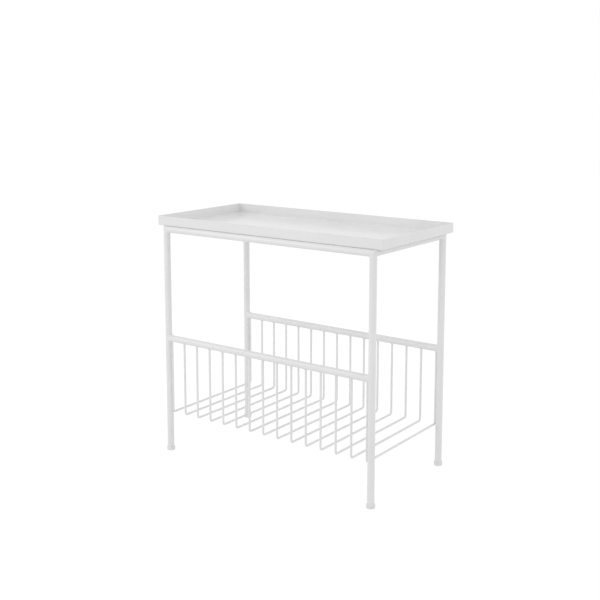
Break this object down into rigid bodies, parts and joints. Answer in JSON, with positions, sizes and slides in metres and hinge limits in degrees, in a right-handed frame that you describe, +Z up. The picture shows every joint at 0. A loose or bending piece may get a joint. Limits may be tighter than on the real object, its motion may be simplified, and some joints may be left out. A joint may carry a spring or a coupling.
{
  "type": "magazine side table",
  "caption": "Rectangular side table: a lift-off tray with a raised rim on a round-tube frame, with a trough of bent wires hung between the legs to hold magazines.",
  "frame": {"origin": "on the floor, in the middle of the four feet", "axes": "+X along the long side, +Y from the front to the back, +Z up"},
  "size_m": [0.5, 0.2528, 0.46],
  "materials": {
    "tray_powder_coat": "satin white powder coat on folded sheet steel",
    "frame_powder_coat": "satin white powder coat on welded steel tube and wire",
    "foot_plastic": "moulded white polyethylene",
    "bumper_rubber": "pale translucent grey silicone rubber"
  },
  "bodies": {
    "frame": {"leg_front_left": "frame_powder_coat", "leg_front_right": "frame_powder_coat", "leg_back_left": "frame_powder_coat", "leg_back_right": "frame_powder_coat", "top_rail_front": "frame_powder_coat", "top_rail_back": "frame_powder_coat", "top_rail_left": "frame_powder_coat", "top_rail_right": "frame_powder_coat", "rack_rail_front": "frame_powder_coat", "rack_rail_back": "frame_powder_coat", "rack_wire_01": "frame_powder_coat", "rack_wire_02": "frame_powder_coat", "rack_wire_03": "frame_powder_coat", "rack_wire_04": "frame_powder_coat", "rack_wire_05": "frame_powder_coat", "rack_wire_06": "frame_powder_coat", "rack_wire_07": "frame_powder_coat", "rack_wire_08": "frame_powder_coat", "rack_wire_09": "frame_powder_coat", "rack_wire_10": "frame_powder_coat", "rack_wire_11": "frame_powder_coat", "rack_wire_12": "frame_powder_coat", "rack_wire_13": "frame_powder_coat", "rack_wire_14": "frame_powder_coat", "rack_wire_15": "frame_powder_coat", "foot_front_left": "foot_plastic", "foot_front_right": "foot_plastic", "foot_back_left": "foot_plastic", "foot_back_right": "foot_plastic"},
    "tray": {"tray": "tray_powder_coat", "tray_bumper_front_left": "bumper_rubber", "tray_bumper_front_right": "bumper_rubber", "tray_bumper_back_left": "bumper_rubber", "tray_bumper_back_right": "bumper_rubber"}
  },
  "joints": [
    {"name": "tray_lift", "type": "slide", "parent": "frame", "child": "tray", "axis": [0, 0, 1], "range_m": [0, 0.1]}
  ]
}
